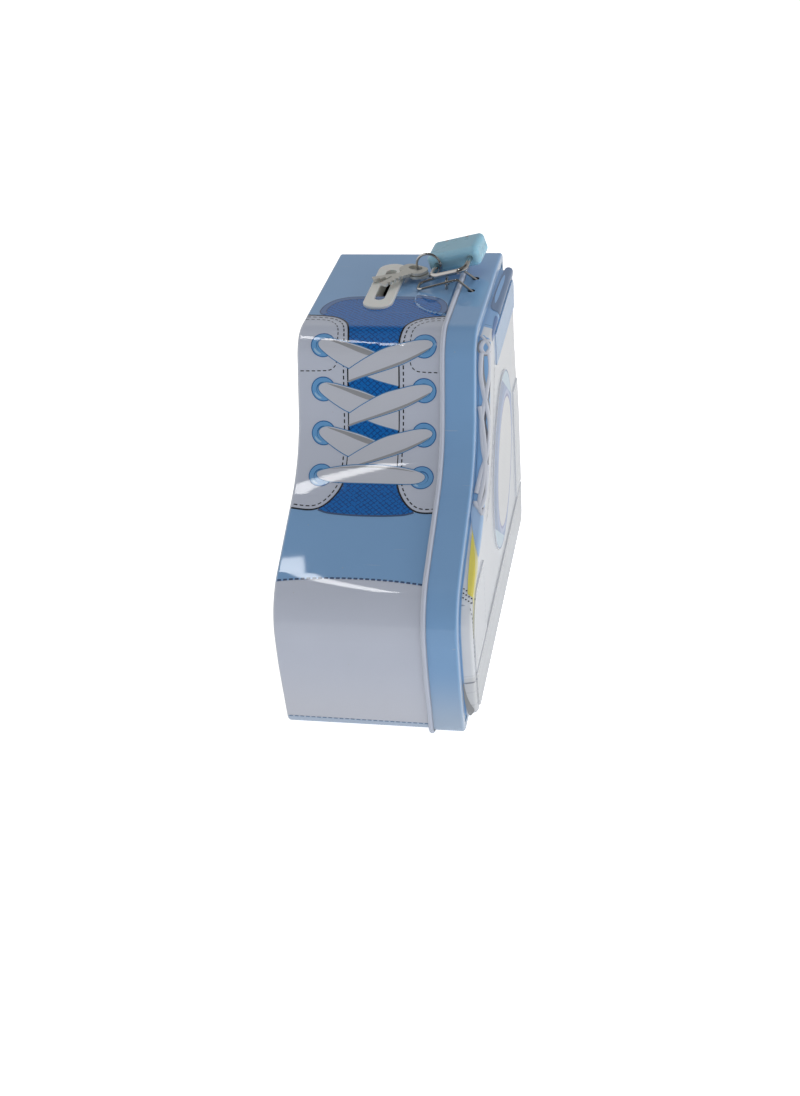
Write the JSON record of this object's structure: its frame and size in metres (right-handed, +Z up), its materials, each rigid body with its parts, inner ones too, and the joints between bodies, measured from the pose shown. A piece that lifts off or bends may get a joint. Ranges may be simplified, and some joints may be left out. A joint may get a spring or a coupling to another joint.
{
  "type": "tin money box",
  "caption": "Sneaker-shaped tinplate money box with a hinged side lid, coin slot bezel in its flat top, wire hasp and staple, and a small padlock with ring and keys.",
  "frame": {"origin": "on the floor, under the middle of the closed box", "axes": "+X out of the lid's embossed face, +Y from toe to heel, +Z up"},
  "size_m": [0.0806, 0.1806, 0.1616],
  "materials": {
    "printed_tin": "glossy lacquered print",
    "blue_tin": "glossy lacquer",
    "bezel_plastic": "satin",
    "bright_wire": "polished",
    "plain_steel": "plain",
    "lock_plastic": "glossy",
    "lock_brass": "turned",
    "key_metal": "stamped, satin"
  },
  "bodies": {
    "tin_body": {"body_wall": "printed_tin", "back_panel": "blue_tin", "coin_slot_bezel": "bezel_plastic", "hasp_staple": "bright_wire", "staple_plate": "plain_steel", "hinge_tab_toe": "blue_tin", "hinge_tab_middle": "blue_tin", "hinge_tab_heel": "blue_tin"},
    "lid": {"lid_skirt": "blue_tin", "lid_face": "printed_tin", "hinge_wire": "plain_steel"},
    "hasp_bail": {"hasp_bail": "bright_wire"},
    "shackle": {"padlock_shackle": "bright_wire"},
    "padlock_case": {"padlock_case_upper": "lock_plastic", "padlock_case_lower": "lock_plastic", "padlock_rivets": "plain_steel", "shackle_spring": "plain_steel"},
    "lock_plug": {"lock_plug": "lock_brass"},
    "lock_bolt": {"lock_bolt": "lock_brass"},
    "key_ring": {"key_ring": "bright_wire"},
    "lower_key": {"lower_key": "key_metal"},
    "upper_key": {"upper_key": "key_metal"}
  },
  "joints": [
    {"name": "lid_hinge", "type": "hinge", "parent": "tin_body", "child": "lid", "pos_m": [0.021, 0, 0.001], "axis": [0, 1, 0], "range_deg": [0, 120]},
    {"name": "bail_flip", "type": "hinge", "parent": "lid", "child": "hasp_bail", "pos_m": [0.0267, 0.0452, 0.1459], "axis": [0, 1, 0], "range_deg": [0, 45]},
    {"name": "padlock_swing", "type": "hinge", "parent": "hasp_bail", "child": "shackle", "pos_m": [0.016, 0.04271, 0.15211], "axis": [0.9574, -0.1209, 0.2622], "range_deg": [0, 12]},
    {"name": "shackle_pop", "type": "slide", "parent": "shackle", "child": "padlock_case", "axis": [0.0975, 0.9901, 0.1009], "range_m": [0, 0.0086]},
    {"name": "plug_turn", "type": "hinge", "parent": "padlock_case", "child": "lock_plug", "pos_m": [0.01705, 0.0534, 0.1532], "axis": [-0.0975, -0.9901, -0.1009], "range_deg": [0, 90]},
    {"name": "bolt_throw", "type": "slide", "parent": "padlock_case", "child": "lock_bolt", "axis": [-0.9574, 0.1209, -0.2622], "range_m": [0, 0.0017]},
    {"name": "ring_swing", "type": "hinge", "parent": "shackle", "child": "key_ring", "pos_m": [0.00942, 0.05266, 0.15098], "axis": [0.0975, 0.9901, 0.1009], "range_deg": [0, 60]},
    {"name": "lower_key_swing", "type": "hinge", "parent": "key_ring", "child": "lower_key", "pos_m": [0.00244, 0.05365, 0.14801], "axis": [0, 0, 1], "range_deg": [-15, 15]},
    {"name": "upper_key_swing", "type": "hinge", "parent": "key_ring", "child": "upper_key", "pos_m": [0.00139, 0.05361, 0.14945], "axis": [0, 0, 1], "range_deg": [-15, 15]}
  ],
  "couplings": [
    {"joint": "plug_turn", "follows": "bolt_throw", "rad_per_m": 925.5}
  ]
}
